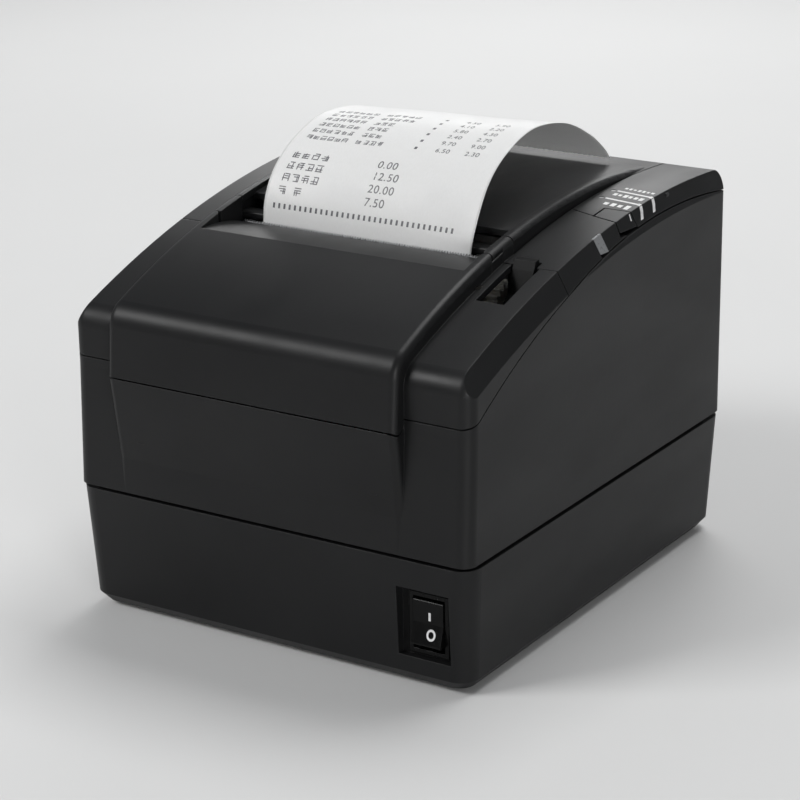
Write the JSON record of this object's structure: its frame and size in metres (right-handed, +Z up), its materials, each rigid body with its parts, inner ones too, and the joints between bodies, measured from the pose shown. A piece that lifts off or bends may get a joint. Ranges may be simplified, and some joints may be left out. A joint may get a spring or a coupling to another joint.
{
  "type": "receipt printer",
  "caption": "Compact clamshell thermal receipt printer with a hinged front cover, a hinged paper cover, drop-in roll, power base with rocker switch and a printed strip standing out of its slot.",
  "frame": {"origin": "on the table, under the middle of the whole printer's box", "axes": "+X to the right seen from the front, +Y to the back, +Z up"},
  "size_m": [0.15, 0.18, 0.1537],
  "materials": {
    "body_plastic": "fine grained matt",
    "black_plastic": "satin black",
    "switch_plastic": "polished black",
    "gear_plastic": "natural acetal",
    "lens_plastic": "frosted clear",
    "rubber": "matt rubber",
    "steel": "zinc plated",
    "blade_steel": "ground steel",
    "alloy": "mill finish",
    "circuit": "green solder mask",
    "can": "sleeved cans",
    "ferrite": "ferrite and tape",
    "brass": "tinned brass",
    "wire": "insulated lead",
    "ceramic": "glazed ceramic",
    "paper": "smooth thermal paper",
    "board_core": "wound card"
  },
  "bodies": {
    "housing": {"ac_inlet": "black_plastic", "base_case": "body_plastic", "base_deck": "steel", "base_screws": "steel", "chassis": "steel", "console_board": "circuit", "console_strip": "body_plastic", "cutter_frame": "black_plastic", "cutter_motor": "steel", "drawer_socket": "black_plastic", "feed_motor": "steel", "gear_plate": "steel", "head_cable": "wire", "head_element": "ceramic", "head_springs": "steel", "hinge_pins": "steel", "inlet_pins": "brass", "interface_board": "circuit", "interface_plate": "steel", "left_strip": "body_plastic", "lever_bracket": "steel", "machine_screws": "steel", "main_board": "circuit", "mid_case": "body_plastic", "paper_bucket": "black_plastic", "paper_sensor": "black_plastic", "paper_web": "paper", "print_head": "alloy", "psu_board": "circuit", "psu_capacitors": "can", "psu_heatsink": "alloy", "psu_transformer": "ferrite", "rubber_feet": "rubber", "serial_socket": "steel", "status_lenses": "lens_plastic", "switch_housing": "black_plastic", "switch_wires": "wire", "usb_socket": "black_plastic"},
    "front_flap": {"front_cover": "body_plastic", "tear_bar": "blade_steel"},
    "rear_lid": {"paper_cover": "body_plastic", "paper_guide": "body_plastic", "platen_bracket": "steel", "bracket_screws": "steel", "platen_bushes": "gear_plastic", "fixed_blade": "blade_steel", "receipt": "paper"},
    "platen": {"platen_shaft": "steel", "platen_rubber": "rubber", "platen_gear": "gear_plastic"},
    "roll": {"paper_roll": "paper", "roll_core": "board_core"},
    "idler": {"idler_gear": "gear_plastic"},
    "motor_rotor": {"motor_pinion": "brass"},
    "cutter_slide": {"moving_blade": "blade_steel"},
    "thumbwheel": {"cutter_thumbwheel": "black_plastic"},
    "lever": {"release_lever": "black_plastic", "release_shaft": "steel"},
    "feed_key": {"feed_button": "body_plastic"},
    "power_rocker": {"switch_rocker": "switch_plastic"}
  },
  "joints": [
    {"name": "front_cover_hinge", "type": "hinge", "parent": "housing", "child": "front_flap", "pos_m": [0, -0.08775, 0.0859], "axis": [1, 0, 0], "range_deg": [0, 75]},
    {"name": "paper_cover_hinge", "type": "hinge", "parent": "housing", "child": "rear_lid", "pos_m": [0, 0.08, 0.101], "axis": [-1, 0, 0], "range_deg": [0, 80]},
    {"name": "paper_roll_spin", "type": "hinge", "parent": "housing", "child": "roll", "pos_m": [0, 0.034, 0.081], "axis": [1, 0, 0], "continuous": true},
    {"name": "platen_spin", "type": "hinge", "parent": "rear_lid", "child": "platen", "pos_m": [0, -0.0145, 0.101], "axis": [1, 0, 0], "continuous": true},
    {"name": "idler_spin", "type": "hinge", "parent": "housing", "child": "idler", "pos_m": [0.0446, -0.0145, 0.0826], "axis": [1, 0, 0], "continuous": true},
    {"name": "motor_spin", "type": "hinge", "parent": "housing", "child": "motor_rotor", "pos_m": [0.0446, -0.00239, 0.07482], "axis": [1, 0, 0], "continuous": true},
    {"name": "cutter_travel", "type": "slide", "parent": "housing", "child": "cutter_slide", "axis": [0, 1, 0], "range_m": [0, 0.006]},
    {"name": "cutter_wheel", "type": "hinge", "parent": "housing", "child": "thumbwheel", "pos_m": [0.037, -0.054, 0.104], "axis": [1, 0, 0], "range_deg": [-70, 0]},
    {"name": "release_lever_pivot", "type": "hinge", "parent": "housing", "child": "lever", "pos_m": [0.01, -0.034, 0.098], "axis": [1, 0, 0], "range_deg": [0, 10], "stiffness_Nm_per_rad": 0.05},
    {"name": "feed_key_press", "type": "slide", "parent": "housing", "child": "feed_key", "axis": [0, 0, -1], "range_m": [0, 0.0008], "stiffness_N_per_m": 400},
    {"name": "power_rocker_tilt", "type": "hinge", "parent": "housing", "child": "power_rocker", "pos_m": [0.0587, -0.0795, 0.0217], "axis": [1, 0, 0], "range_deg": [0, 16]}
  ],
  "couplings": [
    {"joint": "platen_spin", "follows": "paper_roll_spin", "ratio": 4.7143},
    {"joint": "idler_spin", "follows": "paper_roll_spin", "ratio": -5.1429},
    {"joint": "motor_spin", "follows": "paper_roll_spin", "ratio": 8.0816},
    {"joint": "cutter_wheel", "follows": "cutter_travel", "rad_per_m": -178.57}
  ]
}
